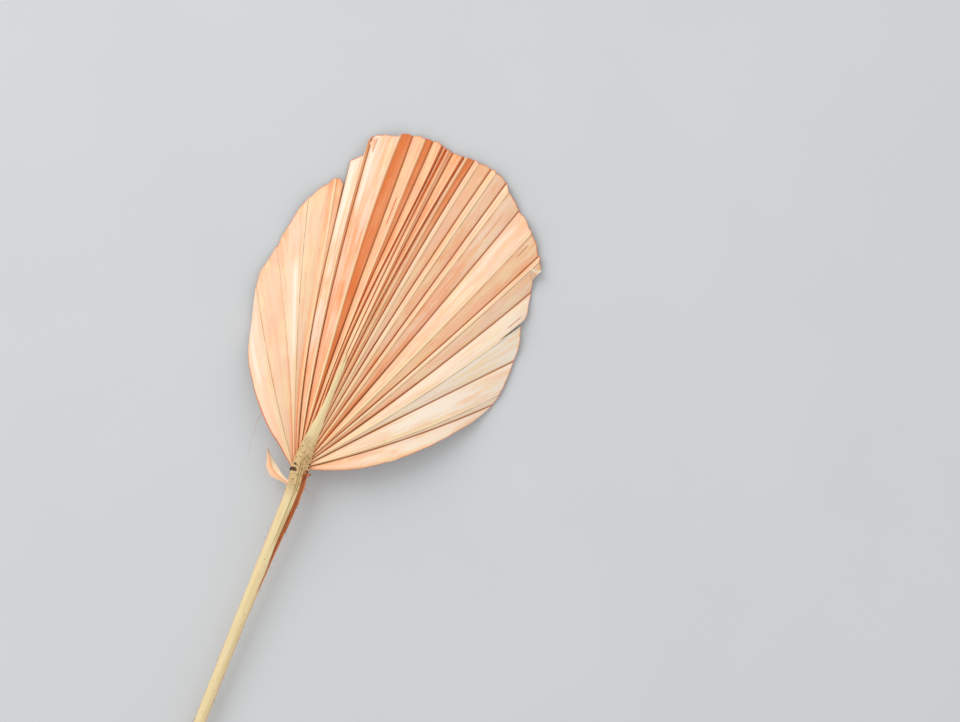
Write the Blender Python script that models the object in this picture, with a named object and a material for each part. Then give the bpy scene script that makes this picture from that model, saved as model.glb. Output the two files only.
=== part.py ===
"""A dried fan palm leaf, cut with a length of its stalk and laid down with its ribbed underside up.

The stalk runs along +Y and carries on into the fan as a midrib that tapers to nothing. The blade is
one pleated sheet: its folds leave the midrib's sides and spread to a trimmed, rounded margin. It is
domed, so that it rests on its margin and on the stalk's cut end. A narrow strip, torn from the
blade's left corner, still hangs by its foot beside the stalk.
"""

import math

import bmesh
import bpy
from mathutils import Vector

MM = 0.001
GAP = 0.35 * MM

# Stalk and midrib, along Y from the cut end to the midrib's tip. The hub, where the blade's
# corners meet the stalk, is at Y = 0.
STALK_LENGTH = 310 * MM
MIDRIB_LENGTH = 78 * MM
STALK_WIDTH = 8 * MM
HUB_WIDTH = 12.5 * MM
MIDRIB_TIP_WIDTH = 1.0 * MM
FLARE_LENGTH = 34 * MM
STALK_THICKNESS = 5 * MM
HUB_THICKNESS = 6.5 * MM
MIDRIB_TIP_THICKNESS = 1.2 * MM
HUB_HEIGHT = 17 * MM
MIDRIB_TIP_HEIGHT = 24 * MM
STALK_STATIONS = 16
MIDRIB_STATIONS = 14

# Half of the stalk's section, in half widths and thicknesses: a broad rounded face above, a sharp
# edge at each side and a shallow channel below.
HALF_SECTION = ((0.0, 0.5), (0.42, 0.47), (0.8, 0.34), (1.0, 0.05), (0.74, -0.44), (0.34, -0.5), (0.0, -0.36))

# The blade's margin as seen from the hub: bearing from the leaf's axis in degrees, and reach.
MARGIN = (
    (-41.0, 95 * MM),
    (-34.2, 126 * MM),
    (-27.6, 143 * MM),
    (-19.9, 172 * MM),
    (-14.6, 185 * MM),
    (-11.5, 201 * MM),
    (-8.4, 216 * MM),
    (-3.0, 225 * MM),
    (4.0, 223 * MM),
    (11.4, 225 * MM),
    (17.2, 218 * MM),
    (27.1, 203 * MM),
    (31.1, 185 * MM),
    (40.1, 157 * MM),
    (47.8, 137 * MM),
    (52.7, 119 * MM),
)

# Folds: each sector's last bearing and how many folds it holds. The fan is shut tight at its
# middle and opens towards both sides. Folds crowd up the midrib's sides: the crowding is the
# bearing in degrees over which the height of a fold's start falls to about a third.
FIRST_BEARING = -41.0
SECTORS = ((-20.0, 3), (-4.8, 6), (-0.5, 3), (9.0, 14), (18.8, 8), (31.0, 5), (52.7, 5))
MIDDLE_BEARING = 2.7
LEFT_CROWDING = 5.0
RIGHT_CROWDING = 7.0
TIP_CLEARANCE = 1.5 * MM
TIP_SPREAD = 0.8

# Pleats: the width of one half of a pleat, measured along the sheet, grows with the reach.
PLEAT_SLOPE = 0.042
DEEPEST_PLEAT = 3.8 * MM
FLATTEST_PLEAT = 0.2
EDGE_BOW = 10 * MM
DOME = 7 * MM
BLADE_THICKNESS = 1.2 * MM
BLADE_STEPS = 13

# The torn strip: its foot beside the stalk and its tip, from the hub.
STRIP_FOOT = Vector((-6.6 * MM, -9.5 * MM, 15.5 * MM))
STRIP_TIP = Vector((-24.5 * MM, 4.5 * MM, 10 * MM))
STRIP_WIDTH = 6 * MM
STRIP_FOLD = 1.4 * MM
STRIP_THICKNESS = 0.9 * MM
STRIP_STEPS = 7


def clear_scene():
    for item in list(bpy.data.objects):
        bpy.data.objects.remove(item, do_unlink=True)


def material(name, colour, roughness):
    """A dry, matt plant surface."""
    made = bpy.data.materials.new(name)
    made.use_nodes = True
    shader = made.node_tree.nodes["Principled BSDF"]
    shader.inputs["Base Color"].default_value = (*colour, 1.0)
    shader.inputs["Roughness"].default_value = roughness
    shader.inputs["Metallic"].default_value = 0.0
    return made


def mapped_grid(columns, rows, place):
    """A grid of quads whose point in a given column and row is place(column, row)."""
    shape = bmesh.new()
    bmesh.ops.create_grid(shape, x_segments=columns, y_segments=rows, size=0.5)
    for point in shape.verts:
        column = round((point.co.x + 0.5) * columns)
        row = round((point.co.y + 0.5) * rows)
        point.co = place(column, row)
    return shape


def thicken(shape, thickness):
    """Gives a sheet its thickness, straight down."""
    bmesh.ops.recalc_face_normals(shape, faces=shape.faces)
    grown = bmesh.ops.extrude_face_region(shape, geom=list(shape.faces), use_keep_orig=True)
    lower = [item for item in grown["geom"] if isinstance(item, bmesh.types.BMVert)]
    bmesh.ops.translate(shape, verts=lower, vec=(0, 0, -thickness))


def finish(shape, name, finish_material, smooth):
    """Turns a modelled shape into a named object in the scene."""
    bmesh.ops.recalc_face_normals(shape, faces=shape.faces)
    mesh = bpy.data.meshes.new(name)
    shape.to_mesh(mesh)
    shape.free()
    if smooth:
        mesh.shade_smooth()
        mesh.set_sharp_from_angle(angle=math.radians(40))
    mesh.materials.append(finish_material)
    made = bpy.data.objects.new(name, mesh)
    bpy.context.scene.collection.objects.link(made)
    return made


def midrib_share(along):
    """0 at the hub and below it, 1 at the midrib's tip."""
    return min(max(along / MIDRIB_LENGTH, 0.0), 1.0)


def stalk_width(along):
    """Full width at a place along Y: even in the stalk, flared at the hub, tapered in the midrib."""
    if along < 0:
        flare = max(1 + along / FLARE_LENGTH, 0.0)
        return STALK_WIDTH + (HUB_WIDTH - STALK_WIDTH) * flare**1.5
    share = midrib_share(along)
    return HUB_WIDTH * (1 - share) ** 1.1 + MIDRIB_TIP_WIDTH * share


def stalk_thickness(along):
    """Height of the section from its channel to its face, largest at the hub."""
    if along < 0:
        return HUB_THICKNESS + (STALK_THICKNESS - HUB_THICKNESS) * -along / STALK_LENGTH
    return HUB_THICKNESS + (MIDRIB_TIP_THICKNESS - HUB_THICKNESS) * midrib_share(along)


def stalk_height(along):
    """Height of the section's middle: the stalk climbs from the table to the hub and on into the dome."""
    if along < 0:
        low = STALK_THICKNESS / 2
        return HUB_HEIGHT + (low - HUB_HEIGHT) * -along / STALK_LENGTH
    return HUB_HEIGHT + (MIDRIB_TIP_HEIGHT - HUB_HEIGHT) * midrib_share(along)


def make_stalk():
    """The stalk and midrib as one tapered rod, skinned through stations that crowd at the hub."""
    section = HALF_SECTION + tuple((-x, z) for x, z in reversed(HALF_SECTION[1:-1]))
    before = [-STALK_LENGTH * (1 - i / STALK_STATIONS) ** 1.3 for i in range(STALK_STATIONS)]
    after = [MIDRIB_LENGTH * i / MIDRIB_STATIONS for i in range(MIDRIB_STATIONS + 1)]
    stations = before + after

    def place(column, row):
        along = stations[row]
        x, z = section[column % len(section)]
        across = x * stalk_width(along) / 2
        return across, along, stalk_height(along) + z * stalk_thickness(along)

    shape = mapped_grid(len(section), len(stations) - 1, place)
    bmesh.ops.remove_doubles(shape, verts=shape.verts, dist=0.01 * MM)
    bmesh.ops.holes_fill(shape, edges=shape.edges)
    return finish(shape, "stalk", material("stalk", (0.80, 0.62, 0.38), 0.6), smooth=True)


def reach(bearing):
    """The margin's distance from the hub, straight between the margin's points."""
    for (low, near), (high, far) in zip(MARGIN, MARGIN[1:]):
        if bearing <= high:
            return near + (far - near) * (bearing - low) / (high - low)
    return MARGIN[-1][1]


def fold_bearings():
    """Bearing of every fold at the margin, from the left corner to the right one."""
    bearings = [FIRST_BEARING]
    for last, count in SECTORS:
        first = bearings[-1]
        bearings += [first + (last - first) * (i + 1) / count for i in range(count)]
    return bearings


def fold_start(bearing):
    """Where a fold leaves the midrib's side: the nearer to the middle, the further up the midrib."""
    aside = bearing - MIDDLE_BEARING
    crowding = LEFT_CROWDING if aside < 0 else RIGHT_CROWDING
    past_tip = max(abs(aside) - TIP_SPREAD, 0.0)
    along = (MIDRIB_LENGTH + TIP_CLEARANCE) * math.exp(-past_tip / crowding)
    across = stalk_width(along) / 2 + GAP
    return Vector((math.copysign(across, aside), along, stalk_height(along)))


def fold_end(bearing):
    """Where a fold meets the margin, seen from above."""
    angle = math.radians(bearing)
    return Vector((math.sin(angle), math.cos(angle), 0)) * reach(bearing)


def pleat_depth(bearings, column):
    """Half the height between ridge and valley at the margin: deep where the folds crowd together."""
    here = bearings[column]
    after = bearings[min(column + 1, len(bearings) - 1)]
    before = bearings[max(column - 1, 0)]
    flat_width = math.radians(after - before) / 2 * reach(here)
    true_width = PLEAT_SLOPE * reach(here)
    closed = math.sqrt(max(true_width**2 - flat_width**2, 0.0)) / 2
    return min(max(closed, FLATTEST_PLEAT * flat_width), DEEPEST_PLEAT)


def make_blade():
    """The pleated sheet: one column of points for each fold, from the midrib out to the margin."""
    bearings = fold_bearings()
    widest = max(abs(bearing - MIDDLE_BEARING) for bearing in bearings)

    def place(column, row):
        out = row / BLADE_STEPS
        bearing = bearings[column]
        start = fold_start(bearing)
        end = fold_end(bearing)
        run = end - start
        aside = (bearing - MIDDLE_BEARING) / widest
        outward = Vector((run.y, -run.x, 0)).normalized() * math.copysign(1, aside)
        swell = 4 * out * (1 - out)
        flat = start.lerp(end, out) + outward * EDGE_BOW * aside**8 * swell
        depth = pleat_depth(bearings, column)
        margin_height = depth + BLADE_THICKNESS
        middle = start.z + (margin_height - start.z) * out + DOME * swell
        side = 1 if column % 2 else -1
        return flat.x, flat.y, middle + side * depth * out

    shape = mapped_grid(len(bearings) - 1, BLADE_STEPS, place)
    thicken(shape, BLADE_THICKNESS)
    return finish(shape, "fan_blade", material("fan_blade", (0.86, 0.56, 0.34), 0.7), smooth=False)


def make_torn_strip():
    """A short strip, creased along its middle, that narrows to a point and droops."""
    run = STRIP_TIP - STRIP_FOOT
    side = Vector((run.y, -run.x, 0)).normalized()

    def place(column, row):
        out = row / STRIP_STEPS
        across = (column - 1) * STRIP_WIDTH / 2 * (1 - 0.85 * out**1.5)
        crease = STRIP_FOLD * (1 - out) if column == 1 else 0.0
        return STRIP_FOOT + run * out + side * across + Vector((0, 0, crease))

    shape = mapped_grid(2, STRIP_STEPS, place)
    thicken(shape, STRIP_THICKNESS)
    return finish(shape, "torn_strip", material("torn_strip", (0.88, 0.62, 0.42), 0.7), smooth=False)


def rest_on_origin(pieces):
    """Puts the origin below the middle of the whole leaf, on the surface that it lies on."""
    points = [point.co for piece in pieces for point in piece.data.vertices]
    low = Vector([min(point[i] for point in points) for i in range(3)])
    high = Vector([max(point[i] for point in points) for i in range(3)])
    shift = Vector((-(low.x + high.x) / 2, -(low.y + high.y) / 2, -low.z))
    for piece in pieces:
        piece.location = shift


def main():
    clear_scene()
    rest_on_origin([make_stalk(), make_blade(), make_torn_strip()])


main()
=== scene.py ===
"""The looks of a dried fan palm leaf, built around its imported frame.

The leaf lies with its ribbed under side up. Its stalk runs on into the fan as a midrib, and the
pleats of the blade leave the midrib's sides and spread to a trimmed margin.

Every size here is in millimetres from the hub, the place where the blade's corners meet the stalk:
X runs across the leaf, Y along the stalk towards the top of the blade, and Z up from the surface
that the leaf lies on. A finished mesh is carried from there into the frame, in metres.
"""

import logging
import math
from collections.abc import Callable, Iterable, Sequence
from dataclasses import dataclass
from enum import Enum

import bmesh
import bpy
from mathutils import Matrix, Vector, noise
from mathutils.bvhtree import BVHTree


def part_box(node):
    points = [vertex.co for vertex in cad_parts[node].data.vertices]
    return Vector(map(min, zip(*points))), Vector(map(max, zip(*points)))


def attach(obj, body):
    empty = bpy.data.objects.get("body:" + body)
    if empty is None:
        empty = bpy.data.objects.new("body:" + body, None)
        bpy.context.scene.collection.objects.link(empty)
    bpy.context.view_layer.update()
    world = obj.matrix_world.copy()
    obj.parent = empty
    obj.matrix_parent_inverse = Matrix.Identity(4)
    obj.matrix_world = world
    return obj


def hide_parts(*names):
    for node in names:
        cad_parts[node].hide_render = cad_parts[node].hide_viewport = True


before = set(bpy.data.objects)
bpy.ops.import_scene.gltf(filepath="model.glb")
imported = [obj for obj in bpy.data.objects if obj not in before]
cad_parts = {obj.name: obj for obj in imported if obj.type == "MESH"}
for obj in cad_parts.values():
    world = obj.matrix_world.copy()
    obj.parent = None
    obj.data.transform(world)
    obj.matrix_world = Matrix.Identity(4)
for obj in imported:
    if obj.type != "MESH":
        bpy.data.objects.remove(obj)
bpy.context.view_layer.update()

LOG = logging.getLogger("fan_palm_leaf")
MM = 0.001
BODY = "root"

# Lengths of the stalk below the hub and of the midrib above it, as the frame has them.
STALK_LENGTH = 310.0
MIDRIB_LENGTH = 78.0

Colour = tuple[float, float, float]
Mark = dict[str, float]


def hub_to_row() -> Matrix:
    """Works out where the hub is, and how a point in millimetres from it becomes one in the frame.

    Returns:
        The matrix from millimetres about the hub to metres in the frame.
    """
    low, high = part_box("stalk")
    hub = Vector(((low.x + high.x) / 2, low.y + STALK_LENGTH * MM, 0.0))
    return Matrix.Translation(hub) @ Matrix.Scale(MM, 4)


HUB_TO_ROW = hub_to_row()


# ---------------------------------------------------------------------------------------------
# Shader tools


class Value:
    """A number from a node's socket that works in Python arithmetic by adding Math nodes."""

    def __init__(self, network: "Network", socket: bpy.types.NodeSocket) -> None:
        """Wraps an output socket of a network."""
        self.network = network
        self.socket = socket

    def _math(self, operation: str, first: object, second: object = 0.0) -> "Value":
        """Adds one Math node.

        Args:
            operation: The node's operation, such as "ADD".
            first: Its first input, a number or a Value.
            second: Its second input.

        Returns:
            The node's result.
        """
        return self.network.node("Math", {"operation": operation}, {0: first, 1: second})

    def __add__(self, other: object) -> "Value":
        """Sum."""
        return self._math("ADD", self, other)

    __radd__ = __add__

    def __sub__(self, other: object) -> "Value":
        """Difference."""
        return self._math("SUBTRACT", self, other)

    def __rsub__(self, other: object) -> "Value":
        """Difference with the number first."""
        return self._math("SUBTRACT", other, self)

    def __mul__(self, other: object) -> "Value":
        """Product."""
        return self._math("MULTIPLY", self, other)

    __rmul__ = __mul__

    def __truediv__(self, other: object) -> "Value":
        """Quotient."""
        return self._math("DIVIDE", self, other)

    def __pow__(self, other: object) -> "Value":
        """Power."""
        return self._math("POWER", self, other)

    def distance(self, place: float) -> "Value":
        """How far the value is from a place, without its sign."""
        return self._math("ABSOLUTE", self - place)

    def rise(self, low: float, high: float) -> "Value":
        """Climbs smoothly from 0 to 1 between two values, or falls where low is the larger.

        Args:
            low: The value at which the result is 0.
            high: The value at which the result is 1.

        Returns:
            The climbing value.
        """
        settings = {"interpolation_type": "SMOOTHSTEP"}
        inputs = {"Value": self, "From Min": low, "From Max": high}
        return self.network.node("MapRange", settings, inputs)


class Network:
    """A material's node tree, and the few ways in which the finishes add to it."""

    def __init__(self, name: str) -> None:
        """Makes an empty material of that name."""
        self.material = bpy.data.materials.new(name)
        self.material.use_nodes = True
        self.tree = self.material.node_tree
        self.tree.nodes.clear()

    def node(self, kind: str, settings: dict, inputs: dict, output: object = 0) -> Value:
        """Adds one node of any type.

        Args:
            kind: The node's type, without the "ShaderNode" that each begins with.
            settings: Properties set before the sockets. "stops" gives a ramp's positions and colours.
            inputs: Socket name, identifier or number, with a constant, or a Value to link.
            output: Which output to return, by name, identifier or number.

        Returns:
            The wrapped output socket.
        """
        made = self.tree.nodes.new("ShaderNode" + kind)
        for name, setting in settings.items():
            if name == "stops":
                self._set_stops(made, setting)
            else:
                setattr(made, name, setting)
        for name, given in inputs.items():
            socket = self._find(made.inputs, name)
            if isinstance(given, Value):
                self.tree.links.new(given.socket, socket)
            else:
                socket.default_value = (*given, 1.0) if socket.type == "RGBA" else given
        return Value(self, self._find(made.outputs, output))

    @staticmethod
    def _find(sockets: Iterable[bpy.types.NodeSocket], name: object) -> bpy.types.NodeSocket:
        """Finds a socket by its number, identifier or name."""
        if isinstance(name, int):
            return list(sockets)[name]
        return next(s for s in sockets if name in (s.identifier, s.name))

    @staticmethod
    def _set_stops(made: bpy.types.Node, stops: Sequence[tuple[float, Colour]]) -> None:
        """Gives a colour ramp its stops.

        Args:
            made: The ramp's node.
            stops: Position and colour of each stop, in order.
        """
        elements = made.color_ramp.elements
        while len(elements) < len(stops):
            elements.new(1.0)
        for element, (position, colour) in zip(elements, stops):
            element.position = position
            element.color = (*colour, 1.0)

    def attribute(self, name: str, output: str = "Fac") -> Value:
        """Reads an attribute of the piece's mesh."""
        return self.node("Attribute", {"attribute_name": name}, {}, output)

    def stretched(self, vector: Value, scale: Sequence[float]) -> Value:
        """Scales a vector along each of its axes."""
        return self.node("VectorMath", {"operation": "MULTIPLY"}, {0: vector, 1: scale})

    def noise(self, vector: Value, detail: float = 2.0, roughness: float = 0.5) -> Value:
        """Smooth noise about 0.5, one unit of the vector to each blob."""
        inputs = {"Vector": vector, "Scale": 1.0, "Detail": detail, "Roughness": roughness}
        return self.node("TexNoise", {}, inputs)

    def ramp(self, place: Value, stops: Sequence[tuple[float, Colour]]) -> Value:
        """Turns a value into a colour through a ramp."""
        return self.node("ValToRGB", {"stops": stops}, {"Fac": place})

    def mix(self, share: object, first: object, second: object) -> Value:
        """Blends two colours.

        Args:
            share: 0 for the first colour, 1 for the second.
            first: A colour or a Value that holds one.
            second: The same.

        Returns:
            The blended colour.
        """
        inputs = {"Factor_Float": share, "A_Color": first, "B_Color": second}
        settings = {"data_type": "RGBA", "clamp_factor": True}
        return self.node("Mix", settings, inputs, "Result_Color")

    def bump(self, height: Value, depth: float, strength: float) -> Value:
        """Turns a height into a normal.

        Args:
            height: From 0 to 1.
            depth: What 1 stands for, in millimetres.
            strength: Share of the effect.

        Returns:
            The normal.
        """
        return self.node("Bump", {}, {"Height": height, "Distance": depth * MM, "Strength": strength})

    def finish(self, shader: Value) -> bpy.types.Material:
        """Joins the shader to the material's output.

        Args:
            shader: The last shader.

        Returns:
            The finished material.
        """
        output = self.tree.nodes.new("ShaderNodeOutputMaterial")
        self.tree.links.new(shader.socket, output.inputs["Surface"])
        return self.material


# ---------------------------------------------------------------------------------------------
# Finishes. Colours are linear shares of red, green and blue.


@dataclass(frozen=True)
class Streak:
    """A stained or torn mark along a panel.

    Attributes:
        place: Fold number that it lies at, with its share of the panel as the fraction.
        start: Where it starts, in millimetres along the fold from the midrib.
        stop: Where it ends.
        width: Half its width, in panels.
        strength: How much of it shows, from 0 to 1.
        colour: Its colour.
    """

    place: float
    start: float
    stop: float
    width: float
    strength: float
    colour: Colour = (0.55, 0.12, 0.05)


@dataclass(frozen=True)
class BladeFinish:
    """Dry, matt blade: bleached cream, with an uneven peach to orange dye and fine fibres, and painted shade
    in its valleys and beside its ribs.
    """

    name: str = "dyed_blade"
    dye_stops: tuple[tuple[float, Colour], ...] = (
        (0.0, (0.92, 0.71, 0.51)),
        (0.25, (0.92, 0.61, 0.39)),
        (0.5, (0.92, 0.49, 0.27)),
        (0.75, (0.90, 0.35, 0.15)),
        (1.0, (0.82, 0.21, 0.055)),
    )
    bleached: Colour = (0.92, 0.80, 0.67)
    blush: Colour = (0.93, 0.55, 0.40)
    straw: Colour = (0.93, 0.74, 0.42)
    strand_dark: Colour = (0.84, 0.44, 0.22)
    # Painted shadow: the colour of the thin dark line beside each rib.
    shadow_line: Colour = (0.46, 0.26, 0.12)
    young_rib: Colour = (0.90, 0.70, 0.40)
    # Painted shade: the near-black crease colour of the deep, narrow valleys near the midrib.
    young_crease_shade: Colour = (0.16, 0.065, 0.015)
    rib: Colour = (0.93, 0.74, 0.48)
    # Painted shade: the dark crease colour along the valley bottoms.
    crease: Colour = (0.40, 0.12, 0.03)
    rim: Colour = (0.74, 0.23, 0.10)
    speck: Colour = (0.40, 0.22, 0.12)
    streaks: tuple[Streak, ...] = ()
    roughness: float = 0.62

    def material(self) -> bpy.types.Material:
        """Builds the blade's material on the attributes that the blade's mesh carries.

        Returns:
            The material.
        """
        net = Network(self.name)
        sheet = net.attribute("sheet", "Vector")
        solid = net.node("TexCoord", {}, {}, "Object")
        fine = net.noise(net.stretched(sheet, (2.6, 0.035, 1.0)), 3.0, 0.6)
        broad = net.noise(net.stretched(sheet, (0.34, 0.012, 1.0)), 2.0)
        cloud = net.noise(net.stretched(solid, (52.0, 52.0, 52.0)), 3.0, 0.55)
        patch = net.noise(net.stretched(sheet, (0.9, 0.07, 1.0)), 3.0, 0.6)
        to_valley = net.attribute("to_valley")
        to_ridge = net.attribute("to_ridge")
        number = net.node("SeparateXYZ", {}, {"Vector": sheet}, "Z")
        falling = net.node("Math", {"operation": "FLOORED_MODULO"}, {0: number, 1: 2.0}).rise(0.999, 1.001)

        uneven = (broad - 0.5) * 0.4 + (fine - 0.5) * 0.34 + (cloud - 0.5) * 0.36
        # Painted shade: more dye within a few millimetres of each valley, most on the panels that fall away
        # from the light, standing in for the shade and warm bounce light in the folds.
        painted_valley_shade = to_valley.rise(3.2, 0.2) * (falling * 0.22 + 0.1) * net.attribute("young")
        across = net.node("Math", {"operation": "FRACT"}, {0: number})
        dye = net.attribute("dye")
        dye = dye + uneven + painted_valley_shade + dye.rise(0.6, 0.9) * falling * (0.5 - across) * 0.34
        pale = dye.rise(0.85, 0.45)
        colour = net.ramp(dye, self.dye_stops)
        strand = net.noise(net.stretched(sheet, (0.95, 0.014, 1.0)), 2.0, 0.6)
        colour = net.mix(strand.rise(0.44, 0.3) * 0.3, colour, self.strand_dark)
        tint = net.noise(net.stretched(sheet, (0.17, 0.04, 1.0)), 3.0, 0.6)
        colour = net.mix(tint.rise(0.5, 0.62) * pale * 0.4, colour, self.blush)
        colour = net.mix(tint.rise(0.5, 0.4) * pale * 0.4, colour, self.straw)
        colour = net.mix(strand.rise(0.55, 0.7) * (0.12 + 0.3 * pale), colour, self.rib)
        worn = net.noise(net.stretched(sheet, (0.32, 0.03, 1.0)), 3.0, 0.6)
        colour = net.mix(net.attribute("bleach") * worn.rise(0.4, 0.58), colour, self.bleached)
        colour = self._lines(net, colour, to_ridge, to_valley, falling, fine, patch)
        for streak in self.streaks:
            colour = net.mix(self._streak(net, streak, sheet, fine), colour, streak.colour)
        ragged = net.attribute("rim") + (cloud - 0.5) * 1.4 + (patch - 0.5) * 1.0
        colour = net.mix(ragged.rise(0.8, 0.2) * 0.92, colour, self.rim)
        specks = net.noise(net.stretched(solid, (620.0, 620.0, 620.0)), 1.0).rise(0.72, 0.78)
        colour = net.mix(specks * cloud.rise(0.45, 0.65) * 0.6, colour, self.speck)
        grain = net.noise(net.stretched(sheet, (5.5, 0.09, 1.0)), 2.0, 0.6)
        height = fine * 0.6 + grain * 0.4
        inputs = {
            "Base Color": colour,
            "Roughness": self.roughness + (fine - 0.5) * 0.2,
            "Specular IOR Level": 0.22,
            "Normal": net.bump(height, 0.16, 0.6),
        }
        return net.finish(net.node("BsdfPrincipled", {}, inputs))

    def _lines(
        self,
        net: Network,
        colour: Value,
        to_ridge: Value,
        to_valley: Value,
        falling: Value,
        fine: Value,
        patch: Value,
    ) -> Value:
        """Draws the pale ribs along the ridges, a painted shadow line just right of each rib, and the dark
        creases along the valleys, which are painted shade.

        Args:
            net: The material's network.
            colour: The sheet's colour so far.
            to_ridge: Millimetres to the panel's ridge.
            to_valley: Millimetres to the panel's valley.
            falling: 1 on panels that fall to the right of their ridge, 0 on the others.
            fine: Noise in thin streaks.
            patch: Noise in short streaks.

        Returns:
            The colour with its lines.
        """
        young = net.attribute("young")
        rib = (to_ridge + (fine - 0.5) * 0.5).rise(0.95, 0.35)
        ribbed = net.mix(young, self.rib, self.young_rib)
        colour = net.mix(rib * (0.6 + 0.4 * young), colour, ribbed)
        # Painted shadow: a thin dark line just right of each rib, strongest on panels that fall away from the
        # light.
        beside = (to_ridge - 1.05).distance(0.0).rise(0.45, 0.1)
        rib_shadow_strength = patch.rise(0.32, 0.55) * (falling * 0.4 + 0.3)
        colour = net.mix(beside * rib_shadow_strength, colour, self.shadow_line)
        second = (to_ridge - 2.6).distance(0.0).rise(0.4, 0.1) * falling
        colour = net.mix(second * patch.rise(0.45, 0.65) * 0.3, colour, self.rib)
        # Painted shade: a dark line along each valley bottom, near-black in the deep young valleys.
        crease = (to_valley + (fine - 0.5) * 0.35).rise(0.85, 0.22)
        creased = net.mix(young**2.0 * patch.rise(0.35, 0.6) * 0.8, self.crease, self.young_crease_shade)
        return net.mix(crease * (0.58 + 0.5 * patch + 0.3 * young), colour, creased)

    @staticmethod
    def _streak(net: Network, streak: Streak, sheet: Value, ragged: Value) -> Value:
        """Masks one streak.

        Args:
            net: The material's network.
            streak: The streak.
            sheet: The sheet's coordinates: across and along in millimetres, and the fold number.
            ragged: Noise that makes its outline uneven.

        Returns:
            The mask, from 0 to 1.
        """
        apart = net.node("SeparateXYZ", {}, {"Vector": sheet}, "Z").distance(streak.place)
        along = net.node("SeparateXYZ", {}, {"Vector": sheet}, "Y")
        middle = (streak.start + streak.stop) / 2
        reach = (streak.stop - streak.start) / 2
        inside = along.distance(middle).rise(reach, reach * 0.6)
        return inside * (apart + (ragged - 0.5) * streak.width).rise(streak.width, 0.0) * streak.strength


@dataclass(frozen=True)
class StalkFinish:
    """Smooth, hard skin in cream to straw yellow, with reddish edges and a torn reddish flank, whose very
    dark red-brown is partly its dye and partly painted shade on that side face.
    """

    name: str = "stalk_skin"
    skin_stops: tuple[tuple[float, Colour], ...] = (
        (0.3, (0.74, 0.50, 0.24)),
        (0.45, (0.78, 0.62, 0.34)),
        (0.65, (0.80, 0.67, 0.40)),
    )
    edge: Colour = (0.84, 0.36, 0.19)
    # Painted shade, in part: the flank's reddish dye is darkened to deep red-brown for the shade on that side
    # face.
    flank: Colour = (0.30, 0.06, 0.014)
    flank_light: Colour = (0.52, 0.15, 0.04)
    # Painted shade, in part: the groove's olive tone, darkened for the shade in its recess.
    groove: Colour = (0.42, 0.31, 0.13)
    weathered: Colour = (0.60, 0.38, 0.16)
    speck: Colour = (0.22, 0.11, 0.05)
    cut: Colour = (0.80, 0.66, 0.46)
    bundle: Colour = (0.42, 0.25, 0.12)
    roughness: float = 0.55

    def material(self) -> bpy.types.Material:
        """Builds the stalk's material on the attributes that the stalk's mesh carries.

        Returns:
            The material.
        """
        net = Network(self.name)
        solid = net.node("TexCoord", {}, {}, "Object")
        fibres = net.noise(net.stretched(solid, (2100.0, 24.0, 2100.0)), 3.0, 0.6)
        bands = net.noise(net.stretched(solid, (620.0, 12.0, 620.0)), 2.0)
        cloud = net.noise(net.stretched(solid, (150.0, 60.0, 150.0)), 3.0, 0.6)
        grit = net.noise(net.stretched(solid, (900.0, 420.0, 900.0)), 2.0, 0.6)
        colour = net.ramp(bands * 0.5 + fibres * 0.25 + cloud * 0.25, self.skin_stops)
        hub = net.attribute("hub")
        colour = net.mix(hub * (0.35 + cloud * 0.7), colour, self.weathered)
        dots = net.noise(net.stretched(solid, (900.0, 700.0, 900.0)), 1.0, 0.5).rise(0.54, 0.68)
        colour = net.mix(hub * cloud.rise(0.5, 0.6) * 0.5, colour, self.bundle)
        colour = net.mix(hub * dots * 0.75, colour, self.speck)
        # Painted shade, in part: the olive groove colour darkens the recess of the groove.
        colour = net.mix(net.attribute("groove") * (0.5 + fibres * 0.6), colour, self.groove)
        # Painted shade, in part: the flank's very dark red-brown.
        reddish = net.mix(fibres.rise(0.4, 0.62), self.flank, self.flank_light)
        colour = net.mix(net.attribute("flank") * (0.75 + bands * 0.6), colour, reddish)
        edge = net.attribute("edge") * (bands * 0.7 + cloud * 0.7).rise(0.5, 0.8)
        colour = net.mix(edge, colour, self.edge)
        specks = grit.rise(0.66, 0.74) * cloud.rise(0.42, 0.6)
        colour = net.mix(specks * 0.7, colour, self.speck)
        pith = net.node("TexVoronoi", {}, {"Vector": solid, "Scale": 1500.0}, "Distance")
        face = net.mix(pith.rise(0.34, 0.2), self.cut, self.bundle)
        colour = net.mix(net.attribute("cut"), colour, face)
        inputs = {
            "Base Color": colour,
            "Roughness": self.roughness + (fibres - 0.5) * 0.25,
            "Specular IOR Level": 0.16,
            "Normal": net.bump(fibres * 0.6 + grit * 0.4, 0.16, 0.5),
        }
        return net.finish(net.node("BsdfPrincipled", {}, inputs))


@dataclass(frozen=True)
class ScrapFinish:
    """A dry scrap of the plant in two tones, streaked along its length."""

    name: str
    dark: Colour
    light: Colour
    scale: tuple[float, float, float] = (900.0, 120.0, 900.0)
    seam: Colour | None = None
    roughness: float = 0.7

    def material(self) -> bpy.types.Material:
        """Builds the scrap's material.

        Returns:
            The material.
        """
        net = Network(self.name)
        solid = net.node("TexCoord", {}, {}, "Object")
        grain = net.noise(net.stretched(solid, self.scale), 3.0, 0.6)
        colour = net.mix(grain.rise(0.35, 0.65), self.dark, self.light)
        if self.seam is not None:
            side = net.attribute("side") + (grain - 0.5) * 0.3
            colour = net.mix(side.rise(-0.05, 0.1) * 0.75 + grain * 0.25, self.dark, self.light)
            colour = net.mix(side.distance(0.0).rise(0.32, 0.05) * 0.8, colour, self.seam)
        inputs = {
            "Base Color": colour,
            "Roughness": self.roughness,
            "Specular IOR Level": 0.3,
            "Normal": net.bump(grain, 0.15, 0.5),
        }
        return net.finish(net.node("BsdfPrincipled", {}, inputs))


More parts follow.
